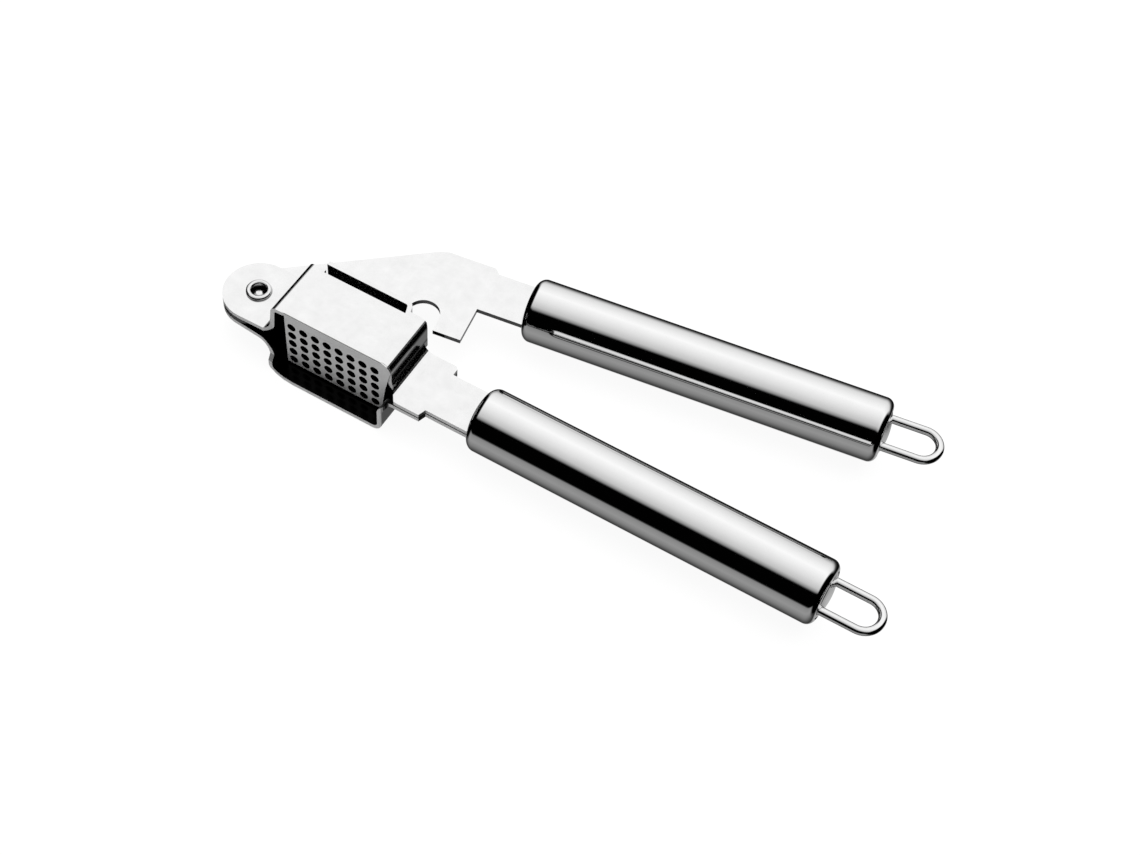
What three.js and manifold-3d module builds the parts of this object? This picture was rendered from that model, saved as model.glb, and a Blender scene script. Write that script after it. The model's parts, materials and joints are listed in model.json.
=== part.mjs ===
// Garlic press: two stamped basket shells, a swinging arm plate with its plunger,
// one tubular rivet and two round tube handles with wire hanging loops.
// Millimetres. +X runs along the lower arm, +Y towards the upper arm, +Z up.
import * as THREE from 'three';
import { mergeVertices } from 'three/addons/utils/BufferGeometryUtils.js';
import Module from 'manifold-3d';

const wasm = await Module();
wasm.setup();

// ---- driving dimensions ----
// The pivot axis stands upright here, so that the origin is below the middle of the whole press.
const PIVOT = new THREE.Vector3(-84.6, -21.93, 10.6);
const REST_ANGLE = THREE.MathUtils.degToRad(8.5); // upper arm, measured from handles parallel

// sheet metal
const SHELL_SHEET = 1.2;
const ARM_SHEET = 1.4;
const LAYER_GAP = 0.1;
const HEAD_RADIUS = 9.3;
const RIVET_HOLE_RADIUS = 2.85;

// basket, measured from the pivot
const BASKET_HALF_HEIGHT = 10.6;
const TOP_LEFT_WEB = [9.7, 10.4]; // foot and corner, middle of the sheet: this web leans
const BOTTOM_LEFT_WEB = [10.8, 10.8];
const RIGHT_WEB_X = 44.7;
const TANG_MIDDLE_Z = 0.8; // middle of the sheet where the two shells run together
const TOP_BENDS = [2.4, 1.2, 2.1, 4.0]; // left foot, left corner, right corner, right foot
const BOTTOM_BENDS = [4.4, 1.2, 2.1, 2.4];
const FAR_EDGE_Y = 9.5;
const RECESS_Y = 8.45;
const RECESS_LEFT_X = 14.7;
const RECESS_RIGHT_X = 39.5;
const TOP_NEAR_Y = -7.55;
const LIP_Y = -12.7;
const LIP_CORNER = 2.2;
const CORNER_CUT = 0.7; // small slanted cuts at the corners of the outlines

// near edge of the bottom shell's left web: set back above, running forward to the lip below
const WEB_EDGE_BACK = [-10.3, -5.4]; // y and z
const WEB_EDGE_FRONT = [-11.5, -7.4];

// tangs and the wider stretch in front of them
const TANG_HALF_WIDTH = 6.45;
const WIDE_NEAR_Y = -10.5;
const WIDE_FAR_Y = 7.2;
const WIDE_END_X = 55.7;
const TANG_END_X = 82;

// press grid: a flange bent sharply down from the top plate's near edge
const GRID_FACE_Y = -7.9;
const GRID_LEFT_X = 13.8;
const GRID_BOTTOM_RIGHT_X = 42.3;
const GRID_MIDDLE_RIGHT_X = 43.6; // clears the bottom shell's web
const GRID_BOTTOM_Z = -8.6;
const GRID_CORNER = 0.3;
const GRID_INSET = 0.1; // inside the round corner between the top plate and the right web
const GRID_JOIN = 2; // how far the flange runs back into the top plate
const HOLE_COLUMNS = 8;
const HOLE_ROWS = 5;
const HOLE_RADIUS = 1.25;
const HOLE_PITCH_X = 3.53;
const HOLE_PITCH_Z = 3.23;
const FIRST_HOLE_X = 15.8;
const FIRST_HOLE_Z = 6.2;

// upper arm plate, in the arm's own frame (handle axis along X)
const UPPER_AXIS_Y = 25.0;
const RIDGE_Y = 33.0;
const RIDGE_START_X = 37.6;
const RIDGE_END_X = 52.6;
const TAB_LEFT_X = 45.1;
const TAB_RIGHT_X = 52.7;
const TAB_BOTTOM_Y = 7.5;
const NOTCH_CENTRE = new THREE.Vector2(40.7, 11.6);
const NOTCH_RADIUS = 4.35;
const SLOT_END_X = 14.0;

// plunger: one strip folded into a C, standing across the arm plate.
// It is drawn in the arm's own frame, where the closed arm lies parallel to the lower one.
const PLUNGER_HALF_HEIGHT = 8.9;
const PLUNGER_FACE_Y = -6.3; // pressing side of the front wall
const PLUNGER_LEFT_X = 14.6; // clears the left web as the arm swings
const PLUNGER_RIGHT_X = 41.6; // clears the right web
const BACK_WALL_LEFT = new THREE.Vector2(14.8, 10.73); // middle of the sheet
const BACK_WALL_RIGHT = new THREE.Vector2(39.3, 7.07);
const PLUNGER_BEND = 1.4;
const WELD_GAP = 0.3;

// rivet
const RIVET_SHANK_RADIUS = 2.6;
const RIVET_RIM_RADIUS = 3.3;
const RIVET_BORE_RADIUS = 2.0;
const RIVET_RIM_HEIGHT = 0.85;
const RIVET_RIM_STRAIGHT = 0.3; // below the round of the rim
const RIVET_HEAD_RADIUS = 4.0;
const RIVET_HEAD_HEIGHT = 1.0;

// handles
const TUBE_RADIUS = 8.5;
const TUBE_WALL = 0.8;
const HANDLE_LENGTH = 95.8;
const LOWER_HANDLE_X = 67.6;
const UPPER_HANDLE_X = 65.0;
const LOWER_AXIS_Y = -1.9;
const SHOULDER_RADIUS = 2.4; // round edge at both ends
const MOUTH_RADIUS = 6.4; // the tube's rear end is rolled in to this
const SEAM_GAP = 0.05; // front cap to tube, ground flush
const CAP_RIM = 0.5;
const CAP_SHEET = 1.2;
const CAP_DEPTH = 5.0;
const CAP_INSIDE_CUT = 0.8; // slanted corner inside the front cap
const CAP_INSET = 0.25;
const CAP_DOME = 1.0; // how far the rear cap bulges past the tube's end
const CAP_CLEARANCE = 0.12;
const SLOT_CLEARANCE = 0.3;

// wire loops
const WIRE_RADIUS = 1.1;
const WIRE_HOLE_RADIUS = 1.25;
const LOOP_HALF_WIDTH = 4.6;
const LOOP_REACH = 9.4; // from the end cap to the middle of the bend
const LOOP_TUCK = 4.5; // how far the legs run inside the tube

// fineness of round shapes
const BEND_STEPS = 10;
const EDGE_STEPS = 6;
const ROUND_STEPS = 48;
const HOLE_STEPS = 18;
const WIRE_STEPS = 30;

const OVERRUN = 1; // how far a cutting solid runs past what it cuts
const QUARTER_HANDLE = 0.5523; // handle of a cubic curve that follows a quarter circle

// ---- helpers ----
function toSolid(geometry) {
  const plain = geometry.index ? geometry.clone() : geometry;
  plain.deleteAttribute('normal');
  plain.deleteAttribute('uv');
  const merged = mergeVertices(plain, 1e-4);
  return new wasm.Manifold(new wasm.Mesh({
    numProp: 3,
    vertProperties: merged.attributes.position.array,
    triVerts: new Uint32Array(merged.index.array),
  }));
}

function toGeometry(solid) {
  const mesh = solid.getMesh();
  const geometry = new THREE.BufferGeometry();
  geometry.setAttribute('position', new THREE.BufferAttribute(mesh.vertProperties, 3));
  geometry.setIndex(new THREE.BufferAttribute(mesh.triVerts, 1));
  geometry.computeVertexNormals();
  return geometry;
}

const steel = (shade, roughness) => new THREE.MeshStandardMaterial({
  color: new THREE.Color(shade, shade, shade),
  roughness,
  metalness: 1,
});
const SHEET_STEEL = steel(0.78, 0.18);
const TUBE_STEEL = steel(0.8, 0.1);
const WIRE_STEEL = steel(0.76, 0.14);

function piece(name, solid, material) {
  const mesh = new THREE.Mesh(toGeometry(solid), material);
  mesh.name = name;
  return mesh;
}

// A plan outline extruded upwards from z0 to z1.
function slab(shape, z0, z1) {
  const geometry = new THREE.ExtrudeGeometry(shape, {
    depth: z1 - z0,
    bevelEnabled: false,
    curveSegments: BEND_STEPS,
  });
  geometry.translate(0, 0, z0);
  return toSolid(geometry);
}

const box = (x0, x1, y0, y1, z0, z1) => {
  const geometry = new THREE.BoxGeometry(x1 - x0, y1 - y0, z1 - z0);
  geometry.translate((x0 + x1) / 2, (y0 + y1) / 2, (z0 + z1) / 2);
  return toSolid(geometry);
};

// A sheet seen from its edge: a centre line with a bend at each inner point, offset both ways.
function sheetSection(points, bends, sheet) {
  const line = [];
  const side = [];
  const add = (point, direction) => {
    line.push(point);
    side.push(new THREE.Vector2(-direction.y, direction.x));
  };
  const corner = points.map(([x, y]) => new THREE.Vector2(x, y));
  const last = corner.length - 1;
  add(corner[0], corner[1].clone().sub(corner[0]).normalize());
  for (let i = 1; i < last; i += 1) {
    const before = corner[i].clone().sub(corner[i - 1]).normalize();
    const after = corner[i + 1].clone().sub(corner[i]).normalize();
    const turn = Math.atan2(before.cross(after), before.dot(after));
    const setback = bends[i - 1] * Math.tan(Math.abs(turn) / 2);
    const start = corner[i].clone().addScaledVector(before, -setback);
    const normal = new THREE.Vector2(-before.y, before.x).multiplyScalar(Math.sign(turn));
    const centre = start.clone().addScaledVector(normal, bends[i - 1]);
    for (let k = 0; k <= BEND_STEPS; k += 1) {
      const angle = (turn * k) / BEND_STEPS;
      const point = start.clone().rotateAround(centre, angle);
      add(point, before.clone().rotateAround(new THREE.Vector2(), angle));
    }
  }
  add(corner[last], corner[last].clone().sub(corner[last - 1]).normalize());
  const left = line.map((p, i) => p.clone().addScaledVector(side[i], sheet / 2));
  const right = line.map((p, i) => p.clone().addScaledVector(side[i], -sheet / 2));
  return new THREE.Shape([...right, ...left.reverse()]);
}

// A section in the X-Z plane, extruded along Y.
function extrudeAlongY(shape, y0, y1) {
  const geometry = new THREE.ExtrudeGeometry(shape, { depth: y1 - y0, bevelEnabled: false });
  geometry.rotateX(Math.PI / 2);
  geometry.translate(0, y1, 0);
  return toSolid(geometry);
}

// A section in the Y-Z plane, extruded along X.
function extrudeAlongX(shape, x0, x1) {
  const geometry = new THREE.ExtrudeGeometry(shape, { depth: x1 - x0, bevelEnabled: false });
  geometry.rotateX(Math.PI / 2);
  geometry.rotateZ(Math.PI / 2);
  geometry.translate(x0, 0, 0);
  return toSolid(geometry);
}

// A lathe profile of (radius, height) points about the Z axis.
function turned(profile, steps = ROUND_STEPS) {
  const points = profile.map(([radius, height]) => new THREE.Vector2(radius, height));
  const geometry = new THREE.LatheGeometry(points, steps);
  geometry.rotateX(Math.PI / 2);
  return toSolid(geometry);
}

// A quarter arc of profile points about (radius, height), from one angle to another.
function arcPoints(centre, radius, from, to, steps = EDGE_STEPS) {
  const points = [];
  for (let i = 0; i <= steps; i += 1) {
    const angle = from + ((to - from) * i) / steps;
    points.push([centre[0] + radius * Math.cos(angle), centre[1] + radius * Math.sin(angle)]);
  }
  return points;
}

// ---- basket shells ----
// Both shells share the head, the webs' far side, the wide stretch and the tang.
function shellOutline(nearPoints) {
  const shape = new THREE.Shape();
  shape.absarc(0, 0, HEAD_RADIUS, Math.PI / 2, (3 * Math.PI) / 2, false);
  for (const [x, y] of nearPoints) shape.lineTo(x, y);
  const bottom = LOWER_AXIS_Y - TANG_HALF_WIDTH;
  const top = LOWER_AXIS_Y + TANG_HALF_WIDTH;
  shape.lineTo(WIDE_END_X - CORNER_CUT, WIDE_NEAR_Y);
  shape.lineTo(WIDE_END_X, bottom);
  shape.lineTo(TANG_END_X, bottom);
  shape.lineTo(TANG_END_X, top);
  shape.lineTo(WIDE_END_X, top);
  shape.lineTo(WIDE_END_X, WIDE_FAR_Y - CORNER_CUT);
  shape.lineTo(WIDE_END_X - CORNER_CUT, WIDE_FAR_Y);
  shape.lineTo(RIGHT_WEB_X + CORNER_CUT, WIDE_FAR_Y);
  shape.lineTo(RIGHT_WEB_X + CORNER_CUT, FAR_EDGE_Y - CORNER_CUT);
  shape.lineTo(RIGHT_WEB_X, FAR_EDGE_Y);
  shape.lineTo(RECESS_RIGHT_X, FAR_EDGE_Y);
  shape.lineTo(RECESS_RIGHT_X, RECESS_Y);
  shape.lineTo(RECESS_LEFT_X, RECESS_Y);
  shape.lineTo(RECESS_LEFT_X, HEAD_RADIUS);
  return shape;
}

const rivetHole = () => turned([
  [0, -BASKET_HALF_HEIGHT],
  [RIVET_HOLE_RADIUS, -BASKET_HALF_HEIGHT],
  [RIVET_HOLE_RADIUS, BASKET_HALF_HEIGHT],
  [0, BASKET_HALF_HEIGHT],
], 32);

// The S-bent strip of one shell: side is +1 for the top shell and -1 for the bottom one.
function bentStrip(side, [footX, cornerX], bends) {
  const headZ = side * (ARM_SHEET / 2 + LAYER_GAP + SHELL_SHEET / 2);
  const plateZ = side * (BASKET_HALF_HEIGHT - SHELL_SHEET / 2);
  const section = sheetSection([
    [-HEAD_RADIUS - OVERRUN, headZ],
    [footX, headZ],
    [cornerX, plateZ],
    [RIGHT_WEB_X, plateZ],
    [RIGHT_WEB_X, side * TANG_MIDDLE_Z],
    [TANG_END_X + OVERRUN, side * TANG_MIDDLE_Z],
  ], bends, SHELL_SHEET);
  return extrudeAlongY(section, LIP_Y - OVERRUN, FAR_EDGE_Y + OVERRUN);
}

const trimmed = (strip, outline) => strip
  .intersect(slab(outline, -BASKET_HALF_HEIGHT - OVERRUN, BASKET_HALF_HEIGHT + OVERRUN))
  .subtract(rivetHole());

// The grid from its side: an L with a small round outside its corner.
function gridSection() {
  const back = GRID_FACE_Y + SHELL_SHEET;
  const underside = BASKET_HALF_HEIGHT - SHELL_SHEET;
  const corner = [GRID_FACE_Y + GRID_CORNER, BASKET_HALF_HEIGHT - GRID_CORNER];
  const section = new THREE.Shape();
  section.moveTo(GRID_FACE_Y, GRID_BOTTOM_Z);
  section.lineTo(back, GRID_BOTTOM_Z);
  section.lineTo(back, underside);
  section.lineTo(back + GRID_JOIN, underside);
  section.lineTo(back + GRID_JOIN, BASKET_HALF_HEIGHT);
  for (const [y, z] of arcPoints(corner, GRID_CORNER, Math.PI / 2, Math.PI)) section.lineTo(y, z);
  return section;
}

// The grid from its front: it joins the right web above, and leans clear of the web below.
function gridFront() {
  const bendX = RIGHT_WEB_X - TOP_BENDS[2];
  const bendZ = BASKET_HALF_HEIGHT - SHELL_SHEET / 2 - TOP_BENDS[2];
  const round = TOP_BENDS[2] + SHELL_SHEET / 2 - GRID_INSET;
  const shape = new THREE.Shape();
  shape.moveTo(GRID_LEFT_X, GRID_BOTTOM_Z);
  shape.lineTo(GRID_BOTTOM_RIGHT_X, GRID_BOTTOM_Z);
  shape.lineTo(GRID_MIDDLE_RIGHT_X, TANG_MIDDLE_Z);
  shape.lineTo(RIGHT_WEB_X, TANG_MIDDLE_Z + TOP_BENDS[3] + SHELL_SHEET);
  shape.absarc(bendX, bendZ, round, 0, Math.PI / 2, false);
  shape.lineTo(bendX - GRID_CORNER, BASKET_HALF_HEIGHT);
  shape.lineTo(GRID_LEFT_X, BASKET_HALF_HEIGHT);
  return extrudeAlongY(shape, GRID_FACE_Y - OVERRUN, 0);
}

function gridFlange() {
  const bar = extrudeAlongX(gridSection(), GRID_LEFT_X - OVERRUN, RIGHT_WEB_X + SHELL_SHEET);
  let flange = bar.intersect(gridFront());
  const depth = SHELL_SHEET + 2 * OVERRUN;
  const drill = new THREE.CylinderGeometry(HOLE_RADIUS, HOLE_RADIUS, depth, HOLE_STEPS);
  for (let column = 0; column < HOLE_COLUMNS; column += 1) {
    for (let row = 0; row < HOLE_ROWS; row += 1) {
      const hole = drill.clone();
      const x = FIRST_HOLE_X + column * HOLE_PITCH_X;
      const z = FIRST_HOLE_Z - row * HOLE_PITCH_Z;
      hole.translate(x, GRID_FACE_Y + SHELL_SHEET / 2, z);
      flange = flange.subtract(toSolid(hole));
    }
  }
  return flange;
}

function basketTopShell() {
  const outline = shellOutline([
    [7.75, -9.15],
    [8.9, -8.5],
    [9.6, -8.05],
    [GRID_LEFT_X - CORNER_CUT, GRID_FACE_Y],
    [GRID_LEFT_X + CORNER_CUT, TOP_NEAR_Y],
    [RIGHT_WEB_X + 0.9, TOP_NEAR_Y],
    [RIGHT_WEB_X + 3.0, WIDE_NEAR_Y],
  ]);
  const strip = trimmed(bentStrip(1, TOP_LEFT_WEB, TOP_BENDS), outline);
  return piece('basket_top_shell', strip.add(gridFlange()), SHEET_STEEL);
}

// What is cut off the bottom shell's left web to make its near edge lean.
function webEdgeCut() {
  const front = LIP_Y - OVERRUN;
  const shape = new THREE.Shape();
  shape.moveTo(WEB_EDGE_BACK[0], 0);
  shape.lineTo(...WEB_EDGE_BACK);
  shape.lineTo(...WEB_EDGE_FRONT);
  shape.lineTo(front, WEB_EDGE_FRONT[1]);
  shape.lineTo(front, 0);
  return extrudeAlongX(shape, 0, BOTTOM_LEFT_WEB[0] + SHELL_SHEET);
}

function basketBottomShell() {
  const corner = [RIGHT_WEB_X + 1.5 - LIP_CORNER, LIP_Y + LIP_CORNER];
  const outline = shellOutline([
    [8.0, -9.95],
    [10.0, -10.25],
    [10.1, -11.35],
    [11.6, -11.5],
    [13.1, -12.0],
    [15.6, -12.5],
    [18.5, LIP_Y],
    ...arcPoints(corner, LIP_CORNER, -Math.PI / 2, 0),
    [RIGHT_WEB_X + 3.0, WIDE_NEAR_Y],
  ]);
  const strip = trimmed(bentStrip(-1, BOTTOM_LEFT_WEB, BOTTOM_BENDS), outline);
  return piece('basket_bottom_shell', strip.subtract(webEdgeCut()), SHEET_STEEL);
}

// ---- upper arm ----
// A point beside the back wall of the plunger, at a given x and distance behind the sheet's middle.
function besideBackWall(x, behind) {
  const along = BACK_WALL_RIGHT.clone().sub(BACK_WALL_LEFT).normalize();
  const slope = along.y / along.x;
  return [x, BACK_WALL_LEFT.y + slope * (x - BACK_WALL_LEFT.x) + behind / along.x];
}

function armPlate() {
  const clear = SHELL_SHEET / 2 + WELD_GAP;
  const lobeY = PLUNGER_FACE_Y + SHELL_SHEET + WELD_GAP;
  const notchStart = THREE.MathUtils.degToRad(231.5);
  const shape = new THREE.Shape();
  shape.absarc(0, 0, HEAD_RADIUS, Math.PI / 2, THREE.MathUtils.degToRad(318), false);
  // the lobe inside the plunger
  shape.lineTo(PLUNGER_LEFT_X, lobeY);
  shape.lineTo(PLUNGER_RIGHT_X - clear - 0.4, lobeY);
  shape.lineTo(...besideBackWall(BACK_WALL_RIGHT.x - clear - 0.5, -clear));
  // the slot that takes the plunger's back wall
  shape.lineTo(...besideBackWall(SLOT_END_X, -clear));
  shape.lineTo(...besideBackWall(SLOT_END_X, clear));
  shape.absarc(NOTCH_CENTRE.x, NOTCH_CENTRE.y, NOTCH_RADIUS, notchStart, 0, true);
  // the tab that stops the closing arm
  shape.lineTo(TAB_LEFT_X, TAB_BOTTOM_Y);
  shape.lineTo(TAB_RIGHT_X, TAB_BOTTOM_Y);
  shape.lineTo(TAB_RIGHT_X, UPPER_AXIS_Y - TANG_HALF_WIDTH);
  shape.lineTo(TANG_END_X, UPPER_AXIS_Y - TANG_HALF_WIDTH);
  shape.lineTo(TANG_END_X, UPPER_AXIS_Y + TANG_HALF_WIDTH);
  shape.lineTo(RIDGE_END_X + 0.8, UPPER_AXIS_Y + TANG_HALF_WIDTH);
  shape.lineTo(RIDGE_END_X, RIDGE_Y - 0.6);
  shape.lineTo(RIDGE_END_X - 0.8, RIDGE_Y);
  shape.lineTo(RIDGE_START_X + 1.2, RIDGE_Y);
  shape.lineTo(RIDGE_START_X - 0.6, RIDGE_Y - 0.55);
  shape.lineTo(RIDGE_START_X - 2.4, RIDGE_Y - 1.5);
  const plate = slab(shape, -ARM_SHEET / 2, ARM_SHEET / 2).subtract(rivetHole());
  return piece('press_arm_plate', plate, SHEET_STEEL);
}

function plunger() {
  const faceY = PLUNGER_FACE_Y + SHELL_SHEET / 2;
  const section = sheetSection([
    [PLUNGER_LEFT_X, faceY],
    [PLUNGER_RIGHT_X, faceY],
    BACK_WALL_RIGHT.toArray(),
    BACK_WALL_LEFT.toArray(),
  ], [PLUNGER_BEND, PLUNGER_BEND], SHELL_SHEET);
  return piece('plunger', slab(section, -PLUNGER_HALF_HEIGHT, PLUNGER_HALF_HEIGHT), SHEET_STEEL);
}

// ---- rivet ----
function pivotRivet() {
  const stackTop = ARM_SHEET / 2 + LAYER_GAP + SHELL_SHEET;
  const seat = stackTop + LAYER_GAP;
  const rimMiddle = (RIVET_RIM_RADIUS + RIVET_BORE_RADIUS) / 2;
  const rimHalf = (RIVET_RIM_RADIUS - RIVET_BORE_RADIUS) / 2;
  const rim = arcPoints([0, 0], 1, 0, Math.PI, 8).map(([x, y]) => [
    rimMiddle + rimHalf * x,
    seat + RIVET_RIM_STRAIGHT + (RIVET_RIM_HEIGHT - RIVET_RIM_STRAIGHT) * y,
  ]);
  const head = arcPoints([0, 0], 1, -Math.PI / 2, 0, 5).map(([x, y]) => [
    RIVET_HEAD_RADIUS * x,
    -seat + RIVET_HEAD_HEIGHT * y,
  ]);
  const profile = [
    ...head,
    [RIVET_SHANK_RADIUS, -seat],
    [RIVET_SHANK_RADIUS, seat],
    [RIVET_RIM_RADIUS, seat],
    ...rim,
    [RIVET_BORE_RADIUS, 0.6],
    [1.5, 1.0],
    [0.8, 1.35],
    [0, 1.45],
  ];
  profile[0][0] = 0;
  return piece('pivot_rivet', turned(profile, 40), WIRE_STEEL);
}

// ---- handles ----
// Every handle piece is turned about Z and then laid along X, starting at x = 0.
const layAlongX = (solid) => solid.rotate([0, 90, 0]);

// An open tube whose rear end is rolled in.
function handleTube() {
  const start = SHOULDER_RADIUS + CAP_RIM + SEAM_GAP;
  const straight = TUBE_RADIUS - SHOULDER_RADIUS;
  const rollCentre = [straight, HANDLE_LENGTH - SHOULDER_RADIUS];
  const insideRadius = SHOULDER_RADIUS - TUBE_WALL;
  const rollTo = (radius) => Math.acos((MOUTH_RADIUS - straight) / radius);
  const profile = [
    [TUBE_RADIUS, start],
    ...arcPoints(rollCentre, SHOULDER_RADIUS, 0, rollTo(SHOULDER_RADIUS)),
    ...arcPoints(rollCentre, insideRadius, rollTo(insideRadius), 0),
    [TUBE_RADIUS - TUBE_WALL, start],
  ];
  return layAlongX(turned([...profile, profile[0]]));
}

// The front end: a cup with a round shoulder, a skirt inside the tube and a slot for the tang.
function frontCap(tangThickness) {
  const flat = TUBE_RADIUS - SHOULDER_RADIUS;
  const rim = SHOULDER_RADIUS + CAP_RIM;
  const skirt = TUBE_RADIUS - TUBE_WALL - CAP_CLEARANCE;
  const shoulder = arcPoints([flat, SHOULDER_RADIUS], SHOULDER_RADIUS, -Math.PI / 2, 0);
  const cup = turned([
    [0, 0],
    ...shoulder,
    [TUBE_RADIUS, rim],
    [skirt, rim],
    [skirt, rim + CAP_DEPTH],
    [skirt - CAP_SHEET, rim + CAP_DEPTH],
    [skirt - CAP_SHEET, CAP_SHEET + CAP_INSIDE_CUT],
    [skirt - CAP_SHEET - CAP_INSIDE_CUT, CAP_SHEET],
    [0, CAP_SHEET],
  ]);
  const halfWidth = TANG_HALF_WIDTH + SLOT_CLEARANCE;
  const halfHeight = tangThickness / 2 + SLOT_CLEARANCE;
  const slotEnd = rim + CAP_DEPTH + OVERRUN;
  const slot = box(-OVERRUN, slotEnd, -halfWidth, halfWidth, -halfHeight, halfHeight);
  return layAlongX(cup).subtract(slot);
}

// A domed cup that closes the rear mouth, drilled for the loop's legs.
function rearCap() {
  const outer = MOUTH_RADIUS - CAP_CLEARANCE;
  const floor = CAP_INSET + CAP_SHEET;
  const rise = CAP_DOME + CAP_INSET;
  const domeRadius = (outer * outer + rise * rise) / (2 * rise);
  const spread = Math.asin(outer / domeRadius);
  const dome = arcPoints([0, domeRadius - CAP_DOME], domeRadius, -Math.PI / 2, spread - Math.PI / 2);
  dome[0][0] = 0;
  let cap = layAlongX(turned([
    ...dome,
    [outer, CAP_DEPTH],
    [outer - CAP_SHEET, CAP_DEPTH],
    [outer - CAP_SHEET, floor],
    [0, floor],
  ]));
  const depth = 2 * (CAP_DEPTH + OVERRUN);
  for (const side of [-1, 1]) {
    const drill = new THREE.CylinderGeometry(WIRE_HOLE_RADIUS, WIRE_HOLE_RADIUS, depth, HOLE_STEPS);
    drill.rotateZ(Math.PI / 2);
    drill.translate(0, side * LOOP_HALF_WIDTH, 0);
    cap = cap.subtract(toSolid(drill));
  }
  return cap.mirror([1, 0, 0]).translate([HANDLE_LENGTH, 0, 0]);
}

function wireLoop() {
  const start = HANDLE_LENGTH - LOOP_TUCK;
  const bend = HANDLE_LENGTH + LOOP_REACH;
  const path = new THREE.CurvePath();
  const leg = (x, y) => new THREE.Vector3(x, y, 0);
  const tip = bend + LOOP_HALF_WIDTH;
  const along = bend + LOOP_HALF_WIDTH * QUARTER_HANDLE;
  const across = LOOP_HALF_WIDTH * QUARTER_HANDLE;
  path.add(new THREE.LineCurve3(leg(start, -LOOP_HALF_WIDTH), leg(bend, -LOOP_HALF_WIDTH)));
  path.add(new THREE.CubicBezierCurve3(
    leg(bend, -LOOP_HALF_WIDTH),
    leg(along, -LOOP_HALF_WIDTH),
    leg(tip, -across),
    leg(tip, 0),
  ));
  path.add(new THREE.CubicBezierCurve3(
    leg(tip, 0),
    leg(tip, across),
    leg(along, LOOP_HALF_WIDTH),
    leg(bend, LOOP_HALF_WIDTH),
  ));
  path.add(new THREE.LineCurve3(leg(bend, LOOP_HALF_WIDTH), leg(start, LOOP_HALF_WIDTH)));
  const section = new THREE.Shape();
  section.absarc(0, 0, WIRE_RADIUS, 0, 2 * Math.PI, false);
  const geometry = new THREE.ExtrudeGeometry(section, {
    extrudePath: path,
    steps: WIRE_STEPS,
    curveSegments: 6,
  });
  return toSolid(geometry);
}

function handle(prefix, x, y, tangThickness) {
  const group = new THREE.Group();
  group.position.set(x, y, 0);
  group.add(piece(`${prefix}_handle_tube`, handleTube(), TUBE_STEEL));
  group.add(piece(`${prefix}_handle_front_cap`, frontCap(tangThickness), TUBE_STEEL));
  group.add(piece(`${prefix}_handle_end_cap`, rearCap(), TUBE_STEEL));
  group.add(piece(`${prefix}_hanging_loop`, wireLoop(), WIRE_STEEL));
  return group;
}

// ---- assembly ----
const shellTangThickness = 2 * (TANG_MIDDLE_Z + SHELL_SHEET / 2);

const lowerArm = new THREE.Group();
lowerArm.add(basketTopShell());
lowerArm.add(basketBottomShell());
lowerArm.add(pivotRivet());
lowerArm.add(handle('lower', LOWER_HANDLE_X, LOWER_AXIS_Y, shellTangThickness));

const upperArm = new THREE.Group();
upperArm.rotation.z = REST_ANGLE;
upperArm.add(armPlate());
upperArm.add(plunger());
upperArm.add(handle('upper', UPPER_HANDLE_X, UPPER_AXIS_Y, ARM_SHEET));

const press = new THREE.Group();
press.position.copy(PIVOT);
press.add(lowerArm);
press.add(upperArm);

export default press;
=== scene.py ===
import json
import math

import bmesh
import bpy
from mathutils import Matrix, Vector

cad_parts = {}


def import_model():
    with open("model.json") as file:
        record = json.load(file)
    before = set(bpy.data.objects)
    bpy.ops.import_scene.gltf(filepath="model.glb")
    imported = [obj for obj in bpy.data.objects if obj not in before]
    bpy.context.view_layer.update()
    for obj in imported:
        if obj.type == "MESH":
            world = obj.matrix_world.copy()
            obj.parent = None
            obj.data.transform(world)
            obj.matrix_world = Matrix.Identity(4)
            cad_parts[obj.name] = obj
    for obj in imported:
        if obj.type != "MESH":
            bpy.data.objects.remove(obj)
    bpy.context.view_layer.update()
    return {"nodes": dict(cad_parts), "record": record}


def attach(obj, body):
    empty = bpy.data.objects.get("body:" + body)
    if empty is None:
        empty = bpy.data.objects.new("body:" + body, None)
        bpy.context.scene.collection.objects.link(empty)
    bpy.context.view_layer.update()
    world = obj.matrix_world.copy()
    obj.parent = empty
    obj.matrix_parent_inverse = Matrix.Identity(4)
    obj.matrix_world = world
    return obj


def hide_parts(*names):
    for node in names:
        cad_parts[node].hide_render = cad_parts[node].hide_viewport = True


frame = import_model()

# Garlic press on a white table. Metres, in the frame of the CAD model: +X along the lower
# handle, +Y towards the upper one, +Z up along the pivot.

MM = 0.001
NODES = frame["nodes"]
HINGE = frame["record"]["behaviour"]["joints"][0]
PIVOT = Vector(HINGE["pos_m"])
REST_ANGLE = math.radians(-HINGE["range_deg"][0])  # the closed arms are parallel

# ---- camera, from the pivot ----
CAMERA_FROM_PIVOT = Vector((205.78, -242.87, 391.01)) * MM
CAMERA_YAW = math.radians(25.214)
CAMERA_PITCH = math.radians(54.737)
CAMERA_ROLL = math.radians(-6.0)
CAMERA_LENS_MM = 61.18
SENSOR_MM = 36.0
CLIP_FROM = 0.01
CLIP_TO = 100.0

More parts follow.
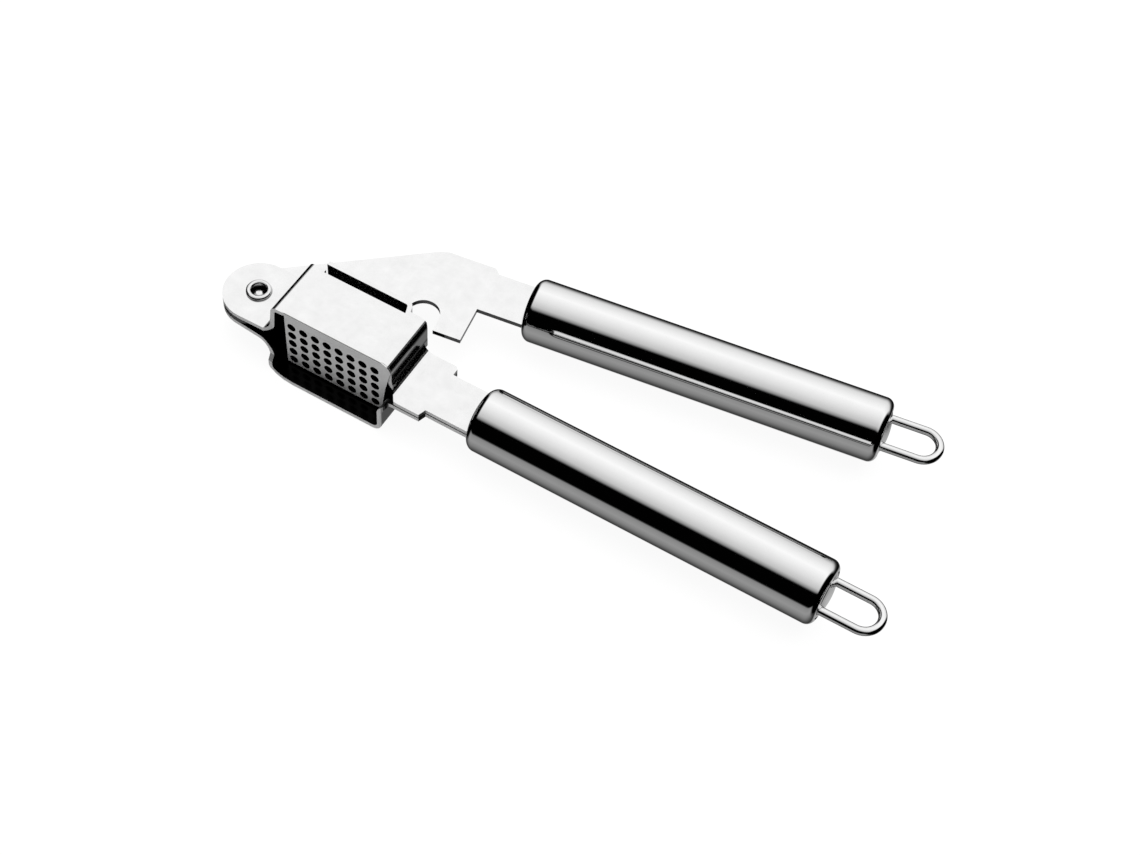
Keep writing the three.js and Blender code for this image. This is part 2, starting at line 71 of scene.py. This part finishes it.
# ---- handles, in mm from the pivot, along each arm ----
HANDLE_LENGTH = 95.8
HANDLE_START = {"lower": (67.6, -1.9), "upper": (65.0, 25.0)}
ARM_TURN = {"lower": 0.0, "upper": REST_ANGLE}
TANG_THICKNESS = {"lower": 2.8, "upper": 1.4}
TUBE_RADIUS = 8.48  # a hair inside the solid tube's 8.5
TUBE_WALL = 0.8
SHOULDER_RADIUS = 2.4
MOUTH_RADIUS = 6.4
FRONT_WALL = 1.2
INSIDE_CUT = 1.0  # slanted corner inside the front wall
SLOT_DEPTH = 1.6  # how far the slot's cut runs past the front wall
OVERRUN = 1.0  # how far it starts in front of it
TANG_HALF_WIDTH = 6.45
SLOT_CLEARANCE = 0.3
WIRE_RADIUS = 1.095
LOOP_HALF_WIDTH = 4.6
LOOP_REACH = 9.4
LOOP_TUCK = 4.5

# ---- fineness of the handle pieces ----
TUBE_SIDES = 128
OUTER_ROUND_STEPS = 16
INNER_ROUND_STEPS = 12
WIRE_SIDES = 32
LEG_STEPS = 10
BEND_STEPS = 48
WELD_DISTANCE = 1e-5  # points of a drawn mesh closer than this are one
SMOOTH_ANGLE = math.radians(40)

# ---- studio ----
# Radiance of the surroundings by the angle about the X axis, in degrees: 0 is the horizon
# in front (-Y), 90 overhead, 180 the horizon behind and -90 straight down. The stops were
# typed to follow the brightness measured along both handles, so they repeat one
# lighting of this press and aren't a plain studio.
SURROUNDINGS = [
    (-180, 0.60),
    (-172, 0.24),
    (-165, 0.07),
    (-158, 0.02),
    (-150, 0.002),
    (-138, 0.002),
    (-130, 0.40),
    (-120, 0.55),
    (-110, 0.30),
    (-102, 0.03),
    (-84, 0.09),
    (-70, 0.18),
    (-56, 0.28),
    (-36, 0.38),
    (-20, 0.34),
    (-11, 0.28),
    (-8, 0.06),
    (-5, 0.0005),
    (45, 0.0005),
    (48, 0.08),
    (51, 0.285),
    (56, 0.48),
    (62, 0.70),
    (84, 0.96),
    (100, 1.10),
    (122, 1.26),
    (146, 1.10),
    (168, 0.92),
    (180, 0.60),
]
RAMP_PEAK = 1.3
SIDE_DARK_FROM = 0.60  # how far a direction leans along X before the surroundings turn dark
SIDE_DARK_TO = 0.74
FLOOR_SIZE = 8.0
FLOOR_DROP = 0.0002  # below the basket, so that the two don't share a plane
FLOOR_SHADE = 0.12
FLOOR_ROUGHNESS = 0.8
FLOOR_GLOW = 0.93
DOME_RADIUS = 30.0
DOME_SEGMENTS = 64
DOME_RINGS = 32
SUN_STRENGTH = 1.2
SUN_SPREAD = math.radians(60)
SUN_TILT = (math.radians(-14), math.radians(6), 0)


def camera():
    data = bpy.data.cameras.new("camera")
    data.lens = CAMERA_LENS_MM
    data.sensor_width = SENSOR_MM
    data.clip_start = CLIP_FROM
    data.clip_end = CLIP_TO
    turn = Matrix.Rotation(CAMERA_ROLL, 3, "Z")
    tilt = Matrix((
        (1, 0, 0),
        (0, math.sin(CAMERA_PITCH), math.cos(CAMERA_PITCH)),
        (0, -math.cos(CAMERA_PITCH), math.sin(CAMERA_PITCH)),
    ))
    to_camera = turn @ tilt @ Matrix.Rotation(-CAMERA_YAW, 3, "Z")
    obj = bpy.data.objects.new("camera", data)
    place = Matrix.Translation(PIVOT + CAMERA_FROM_PIVOT)
    obj.matrix_world = place @ to_camera.transposed().to_4x4()
    bpy.context.collection.objects.link(obj)
    bpy.context.scene.camera = obj


# ---- node helpers ----
def node(tree, kind, settings=None, **inputs):
    made = tree.nodes.new(kind)
    for name, value in (settings or {}).items():
        setattr(made, name, value)
    for name, value in inputs.items():
        socket = made.inputs[name.replace("_", " ")]
        if isinstance(value, bpy.types.NodeSocket):
            tree.links.new(value, socket)
        else:
            socket.default_value = value
    return made


def math_node(tree, operation, *values):
    made = tree.nodes.new("ShaderNodeMath")
    made.operation = operation
    for socket, value in zip(made.inputs, values):
        if isinstance(value, bpy.types.NodeSocket):
            tree.links.new(value, socket)
        else:
            socket.default_value = value
    return made.outputs[0]


def ranged(tree, value, from_min, from_max, to_min, to_max):
    made = node(
        tree, "ShaderNodeMapRange", Value=value,
        From_Min=from_min, From_Max=from_max, To_Min=to_min, To_Max=to_max,
    )
    return made.outputs[0]


def world():
    made = bpy.data.worlds.new("studio")
    made.use_nodes = True
    tree = made.node_tree
    tree.nodes.clear()
    direction = node(tree, "ShaderNodeTexCoord").outputs["Generated"]
    axes = node(tree, "ShaderNodeSeparateXYZ", Vector=direction)
    front = math_node(tree, "MULTIPLY", axes.outputs["Y"], -1.0)
    angle = math_node(tree, "ARCTAN2", axes.outputs["Z"], front)
    turn = math_node(tree, "DIVIDE", angle, 2 * math.pi)
    place = math_node(tree, "ADD", turn, 0.5)
    ramp = node(tree, "ShaderNodeValToRGB", Fac=place)
    band = ramp.color_ramp
    band.interpolation = "LINEAR"
    while len(band.elements) > 1:
        band.elements.remove(band.elements[0])
    for i, (degrees, radiance) in enumerate(SURROUNDINGS):
        position = degrees / 360 + 0.5
        stop = band.elements[0] if i == 0 else band.elements.new(position)
        stop.position = position
        shade = radiance / RAMP_PEAK
        stop.color = (shade, shade, shade, 1)
    lean = math_node(tree, "ABSOLUTE", axes.outputs["X"])
    sides = ranged(tree, lean, SIDE_DARK_FROM, SIDE_DARK_TO, RAMP_PEAK, 0.0)
    back = node(tree, "ShaderNodeBackground", Color=ramp.outputs["Color"], Strength=sides)
    out = tree.nodes.new("ShaderNodeOutputWorld")
    tree.links.new(back.outputs[0], out.inputs["Surface"])
    bpy.context.scene.world = made


def floor_material():
    made = bpy.data.materials.new("floor_white")
    made.use_nodes = True
    shader = made.node_tree.nodes["Principled BSDF"]
    shader.inputs["Base Color"].default_value = (FLOOR_SHADE, FLOOR_SHADE, FLOOR_SHADE, 1)
    shader.inputs["Roughness"].default_value = FLOOR_ROUGHNESS
    shader.inputs["Specular IOR Level"].default_value = 0.0
    shader.inputs["Emission Color"].default_value = (1, 1, 1, 1)
    shader.inputs["Emission Strength"].default_value = FLOOR_GLOW
    return made


def stage():
    bpy.ops.mesh.primitive_plane_add(size=FLOOR_SIZE, location=(0, 0, -FLOOR_DROP))
    floor = bpy.context.object
    floor.name = "floor"
    floor.data.materials.append(floor_material())
    floor.visible_glossy = False
    bpy.ops.mesh.primitive_uv_sphere_add(
        radius=DOME_RADIUS, segments=DOME_SEGMENTS, ring_count=DOME_RINGS,
    )
    dome = bpy.context.object
    dome.name = "backdrop"
    white = bpy.data.materials.new("backdrop_white")
    white.use_nodes = True
    tree = white.node_tree
    tree.nodes.clear()
    glow = node(tree, "ShaderNodeEmission", Color=(1, 1, 1, 1), Strength=1.0)
    out = tree.nodes.new("ShaderNodeOutputMaterial")
    tree.links.new(glow.outputs[0], out.inputs["Surface"])
    dome.data.materials.append(white)
    for flag in ("diffuse", "glossy", "transmission", "volume_scatter", "shadow"):
        setattr(dome, f"visible_{flag}", False)
    sun = bpy.data.lights.new("overhead", "SUN")
    sun.energy = SUN_STRENGTH
    sun.angle = SUN_SPREAD
    lamp = bpy.data.objects.new("overhead", sun)
    lamp.rotation_euler = SUN_TILT
    lamp.visible_glossy = False
    bpy.context.collection.objects.link(lamp)


# ---- steel ----
MOTTLE_SCALE = 260.0
HAIRLINE_SCALE = 560.0
STREAK_SCALE = 1600.0
BUMP_HEIGHT = 0.0001
# samples of the ambient occlusion that paints shade into hollows
PAINTED_SHADE_SAMPLES = 32
FRONT_ROUGHNESS = 0.34  # of the duller faces towards -Y
HAIRLINES = (0.60, 0.72)  # noise at which a hairline starts and is full
NOISE_MIDDLE = (0.3, 0.7)  # where nearly all of a noise lies
ROUGHNESS_SPREAD = (0.8, 1.25)  # least and most, as shares of a steel's roughness
# the share of the colour left where the painted shade in hollows is darkest
DARKEST_PAINTED_SHADE = 0.01
FRONT_FROM_TO = (-0.95, -0.6)  # Y of the normal: a full front face, and none
ALONG_FROM_TO = (0.75, 0.95)  # X of the normal, either way: no side face, and a full one, for the painted side shade
LEVEL_FROM_TO = (0.2, 0.8)  # Z of the normal, either way: an upright face, and a level one, for the painted shade of upright faces


def steel(name, shade, roughness, grain, cloud, scratch, bump, painted_shade_reach=None, painted_shade_span=(0.35, 0.62),
          front_metal=None, painted_side_shade=1.0, painted_upright_shade=1.0):
    """Polished steel with a cloudy shade, faint streaks along X, sparse hairlines and fine bump.

    hollow is how far the painted shade inside hollows reaches, in metres: ambient occlusion
    darkens the colour there in place of shade. sheltered is the open share of the sky at which
    that painted shade is darkest and gone. front_metal is how metallic the duller faces towards
    -Y are; they are spared the painted shade of hollows. painted_side_shade and
    painted_upright_shade are the shares of its shade that a face along X and any upright face
    keep, as painted shade. All three go by the face's own direction, whatever the light: they
    paint in what the real press mirrors towards the camera, as painted reflection and shade.
    """
    made = bpy.data.materials.new(name)
    made.use_nodes = True
    tree = made.node_tree
    shader = tree.nodes["Principled BSDF"]
    shader.inputs["Metallic"].default_value = 1.0
    places = node(tree, "ShaderNodeTexCoord")
    place = places.outputs["Object"]
    facing = node(tree, "ShaderNodeSeparateXYZ", Vector=places.outputs["Normal"])
    mottle = node(
        tree, "ShaderNodeTexNoise", Vector=place, Scale=MOTTLE_SCALE, Detail=5.0, Roughness=0.6,
    )
    squeezed = node(tree, "ShaderNodeMapping", Vector=place, Scale=grain).outputs[0]
    streak = node(tree, "ShaderNodeTexNoise", Vector=squeezed, Scale=STREAK_SCALE, Detail=3.0)
    hair = node(
        tree, "ShaderNodeTexNoise", Vector=squeezed, Scale=HAIRLINE_SCALE, Detail=8.0,
        Roughness=0.75, Distortion=0.6,
    )
    lines = ranged(tree, hair.outputs["Fac"], *HAIRLINES, 0.0, 1.0)
    darker, lighter = shade * (1 - cloud), shade * (1 + cloud)
    tone = ranged(tree, mottle.outputs["Fac"], *NOISE_MIDDLE, darker, lighter)
    value = math_node(tree, "SUBTRACT", tone, math_node(tree, "MULTIPLY", lines, scratch))
    smoothest, roughest = (roughness * share for share in ROUGHNESS_SPREAD)
    rough = ranged(tree, streak.outputs["Fac"], *NOISE_MIDDLE, smoothest, roughest)
    front = 0.0
    if front_metal is not None:
        front = ranged(tree, facing.outputs["Y"], *FRONT_FROM_TO, 1.0, 0.0)
        tree.links.new(ranged(tree, front, 0.0, 1.0, 1.0, front_metal), shader.inputs["Metallic"])
        dull = math_node(tree, "MULTIPLY", front, FRONT_ROUGHNESS)
        rough = math_node(tree, "MAXIMUM", rough, dull)
    # Painted shade: ambient occlusion darkens the colour inside hollows, nearly to black; faces
    # towards -Y are spared.
    if painted_shade_reach:
        settings = {"samples": PAINTED_SHADE_SAMPLES}
        shade_occlusion = node(tree, "ShaderNodeAmbientOcclusion", settings, Distance=painted_shade_reach)
        painted_recess_shade = ranged(tree, shade_occlusion.outputs["AO"], *painted_shade_span, DARKEST_PAINTED_SHADE, 1.0)
        value = math_node(tree, "MULTIPLY", value, math_node(tree, "MAXIMUM", painted_recess_shade, front))
    # Painted shade: faces along X and upright faces are darkened by their direction alone,
    # standing in for the dark surroundings that the real steel mirrors.
    if painted_side_shade < 1:
        along = math_node(tree, "ABSOLUTE", facing.outputs["X"])
        painted_facing_shade = ranged(tree, along, *ALONG_FROM_TO, 1.0, painted_side_shade)
        value = math_node(tree, "MULTIPLY", value, painted_facing_shade)
    if painted_upright_shade < 1:
        level = math_node(tree, "ABSOLUTE", facing.outputs["Z"])
        painted_facing_shade = ranged(tree, level, *LEVEL_FROM_TO, painted_upright_shade, 1.0)
        value = math_node(tree, "MULTIPLY", value, painted_facing_shade)
    color = node(tree, "ShaderNodeCombineColor", Red=value, Green=value, Blue=value)
    tree.links.new(color.outputs[0], shader.inputs["Base Color"])
    tree.links.new(rough, shader.inputs["Roughness"])
    height = math_node(tree, "ADD", streak.outputs["Fac"], lines)
    relief = node(tree, "ShaderNodeBump", Height=height, Strength=bump, Distance=BUMP_HEIGHT)
    tree.links.new(relief.outputs[0], shader.inputs["Normal"])
    return made


SHEET_GRAIN = (0.3, 1, 1)
EVEN_GRAIN = (0.7, 0.7, 0.7)
# Painted shade: the sheet, plunger and rivet steels are darkened inside hollows; the two shells
# also on faces along X, the arm plate also on upright faces.
SHELL_STEEL = steel(
    "shell_steel", 0.72, 0.11, SHEET_GRAIN, 0.04, 0.03, 0.03,
    painted_shade_reach=12 * MM, front_metal=0.35, painted_side_shade=0.22,
)
FLOOR_STEEL = steel(
    "floor_shell_steel", 0.72, 0.16, SHEET_GRAIN, 0.04, 0.03, 0.03,
    painted_shade_reach=14 * MM, painted_shade_span=(0.80, 0.96), front_metal=0.35, painted_side_shade=0.3,
)
INNER_STEEL = steel("inner_steel", 0.72, 0.14, SHEET_GRAIN, 0.04, 0.03, 0.03, painted_shade_reach=12 * MM)
PLATE_STEEL = steel(
    "plate_steel", 0.73, 0.11, SHEET_GRAIN, 0.04, 0.03, 0.03, painted_shade_reach=10 * MM, painted_upright_shade=0.2,
)
TUBE_STEEL = steel("handle_steel", 0.76, 0.05, EVEN_GRAIN, 0.012, 0.008, 0.006)
WIRE_STEEL = steel("wire_steel", 0.74, 0.1, EVEN_GRAIN, 0.03, 0.03, 0.02)
RIVET_STEEL = steel("rivet_steel", 0.72, 0.14, EVEN_GRAIN, 0.05, 0.04, 0.05, painted_shade_reach=2 * MM)

# The tubes' steel is on every node that isn't named here.
MATERIAL_OF = {
    "basket_top_shell": SHELL_STEEL,
    "basket_bottom_shell": FLOOR_STEEL,
    "press_arm_plate": PLATE_STEEL,
    "plunger": INNER_STEEL,
    "pivot_rivet": RIVET_STEEL,
}

# How far a node's edges are rounded, in mm.
EDGE_ROUNDING = {
    "basket_top_shell": 0.16,
    "basket_bottom_shell": 0.2,
    "press_arm_plate": 0.26,
    "plunger": 0.2,
}
FINE_ROUNDING = 0.06  # the rivet and the end caps
FLAT_ANGLE = math.radians(0.6)  # facets that turn less than this are one flat
ROUNDED_ANGLE = math.radians(38)  # edges that turn more than this are rounded
ROUNDING_STEPS = 3
NORMAL_WEIGHT = 80


def dress(obj, material):
    obj.data.materials.clear()
    obj.data.materials.append(material)
    for face in obj.data.polygons:
        face.use_smooth = True


def soften(obj, width):
    """Merges the flat facets, rounds the sharp edges a little and keeps the flats flat."""
    merge = obj.modifiers.new("flats", "DECIMATE")
    merge.decimate_type = "DISSOLVE"
    merge.angle_limit = FLAT_ANGLE
    rounding = obj.modifiers.new("edges", "BEVEL")
    rounding.limit_method = "ANGLE"
    rounding.angle_limit = ROUNDED_ANGLE
    rounding.width = width
    rounding.segments = ROUNDING_STEPS
    rounding.harden_normals = True
    rounding.miter_outer = "MITER_ARC"
    even = obj.modifiers.new("normals", "WEIGHTED_NORMAL")
    even.keep_sharp = True
    even.weight = NORMAL_WEIGHT


# ---- handle pieces, drawn in mm along X from the handle's front end ----
def handle_place(side):
    """Takes a point of a handle, in mm, to its place in the frame."""
    x, y = HANDLE_START[side]
    turned = Matrix.Rotation(ARM_TURN[side], 4, "Z")
    to_metres = Matrix.Scale(MM, 4)
    return Matrix.Translation(PIVOT) @ turned @ to_metres @ Matrix.Translation((x, y, 0))


def arc(centre, radius, start, end, steps):
    points = []
    for i in range(steps + 1):
        angle = math.radians(start + (end - start) * i / steps)
        points.append((centre[0] + radius * math.cos(angle), centre[1] + radius * math.sin(angle)))
    return points


def mesh_object(name, verts, faces):
    mesh = bpy.data.meshes.new(name)
    mesh.from_pydata(verts, [], faces)
    bm = bmesh.new()
    bm.from_mesh(mesh)
    bmesh.ops.remove_doubles(bm, verts=bm.verts, dist=WELD_DISTANCE)
    bmesh.ops.recalc_face_normals(bm, faces=bm.faces)
    bm.to_mesh(mesh)
    bm.free()
    obj = bpy.data.objects.new(name, mesh)
    bpy.context.collection.objects.link(obj)
    return obj


def ring_faces(rings, sides):
    """The faces between rings of points that follow each other."""
    faces = []
    for i in range(rings - 1):
        for k in range(sides):
            after = (k + 1) % sides
            faces.append((
                i * sides + k, i * sides + after, (i + 1) * sides + after, (i + 1) * sides + k,
            ))
    return faces


def turned_piece(name, profile):
    """A solid turned about X from (x, radius) points that start and end on the axis."""
    verts = []
    for x, radius in profile:
        for k in range(TUBE_SIDES):
            angle = 2 * math.pi * k / TUBE_SIDES
            verts.append((x, radius * math.cos(angle), radius * math.sin(angle)))
    return mesh_object(name, verts, ring_faces(len(profile), TUBE_SIDES))


def block(name, half_y, half_z, x0, x1):
    verts = [(x, y, z) for x in (x0, x1) for y in (-half_y, half_y) for z in (-half_z, half_z)]
    faces = [(0, 1, 3, 2), (4, 6, 7, 5), (0, 4, 5, 1), (2, 3, 7, 6), (0, 2, 6, 4), (1, 5, 7, 3)]
    return mesh_object(name, verts, faces)


def cut(obj, tool):
    """Cuts a tool out of a piece for good, and deletes the tool."""
    step = obj.modifiers.new("cut", "BOOLEAN")
    step.operation = "DIFFERENCE"
    step.solver = "EXACT"
    step.object = tool
    shapes = bpy.context.evaluated_depsgraph_get()
    made = bpy.data.meshes.new_from_object(obj.evaluated_get(shapes))
    obj.modifiers.clear()
    obj.data = made
    bpy.data.objects.remove(tool)


def finish_piece(obj, side, material, slot, *stands_for):
    obj.data.transform(handle_place(side))
    dress(obj, material)
    obj.data.set_sharp_from_angle(angle=SMOOTH_ANGLE)
    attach(obj, f"{side}_arm")
    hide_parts(*stands_for)


def handle_skin(side):
    """The tube with its welded and polished front end, in one piece."""
    straight = TUBE_RADIUS - SHOULDER_RADIUS
    rear = HANDLE_LENGTH - SHOULDER_RADIUS
    inside = SHOULDER_RADIUS - TUBE_WALL
    bore = TUBE_RADIUS - TUBE_WALL
    outer_end = math.degrees(math.asin((MOUTH_RADIUS - straight) / SHOULDER_RADIUS))
    inner_end = math.degrees(math.asin((MOUTH_RADIUS - straight) / inside))
    profile = [
        (0, 0),
        *arc((SHOULDER_RADIUS, straight), SHOULDER_RADIUS, 180, 90, OUTER_ROUND_STEPS),
        *arc((rear, straight), SHOULDER_RADIUS, 90, outer_end, OUTER_ROUND_STEPS),
        *arc((rear, straight), inside, inner_end, 90, INNER_ROUND_STEPS),
        (FRONT_WALL + INSIDE_CUT, bore),
        (FRONT_WALL, bore - INSIDE_CUT),
        (FRONT_WALL, 0),
    ]
    skin = turned_piece(f"{side}_handle_skin", profile)
    half_width = TANG_HALF_WIDTH + SLOT_CLEARANCE
    half_height = TANG_THICKNESS[side] / 2 + SLOT_CLEARANCE
    cut(skin, block("slot_tool", half_width, half_height, -OVERRUN, FRONT_WALL + SLOT_DEPTH))
    finish_piece(
        skin, side, TUBE_STEEL, "handle_steel",
        f"{side}_handle_tube", f"{side}_handle_front_cap",
    )


def wire_loop(side):
    """Round wire bent into a loop whose legs run into the end cap."""
    start = HANDLE_LENGTH - LOOP_TUCK
    bend = HANDLE_LENGTH + LOOP_REACH
    step = (bend - start) / LEG_STEPS
    # each point of the path is x and y, then the direction in which the wire runs there
    path = [(start + step * i, -LOOP_HALF_WIDTH, 1, 0) for i in range(LEG_STEPS)]
    for i in range(BEND_STEPS + 1):
        angle = math.pi * (i / BEND_STEPS - 0.5)
        x = bend + LOOP_HALF_WIDTH * math.cos(angle)
        y = LOOP_HALF_WIDTH * math.sin(angle)
        path.append((x, y, -math.sin(angle), math.cos(angle)))
    path += [(bend - step * (i + 1), LOOP_HALF_WIDTH, -1, 0) for i in range(LEG_STEPS)]
    verts = []
    for x, y, along_x, along_y in path:
        for k in range(WIRE_SIDES):
            angle = 2 * math.pi * k / WIRE_SIDES
            out = WIRE_RADIUS * math.cos(angle)
            verts.append((x + out * along_y, y - out * along_x, WIRE_RADIUS * math.sin(angle)))
    ends = [tuple(range(WIRE_SIDES)), tuple(range(len(verts) - WIRE_SIDES, len(verts)))]
    faces = ends + ring_faces(len(path), WIRE_SIDES)
    loop = mesh_object(f"{side}_wire_loop", verts, faces)
    finish_piece(loop, side, WIRE_STEEL, "wire_steel", f"{side}_hanging_loop")


# ---- the scene ----
camera()
world()
stage()
for side in ("lower", "upper"):
    handle_skin(side)
    wire_loop(side)

REPLACED = ("_handle_tube", "_handle_front_cap", "_hanging_loop")
for name, obj in NODES.items():
    if not name.endswith(REPLACED):
        dress(obj, MATERIAL_OF.get(name, TUBE_STEEL))
        soften(obj, EDGE_ROUNDING.get(name, FINE_ROUNDING) * MM)

bpy.context.scene.view_settings.view_transform = "Standard"
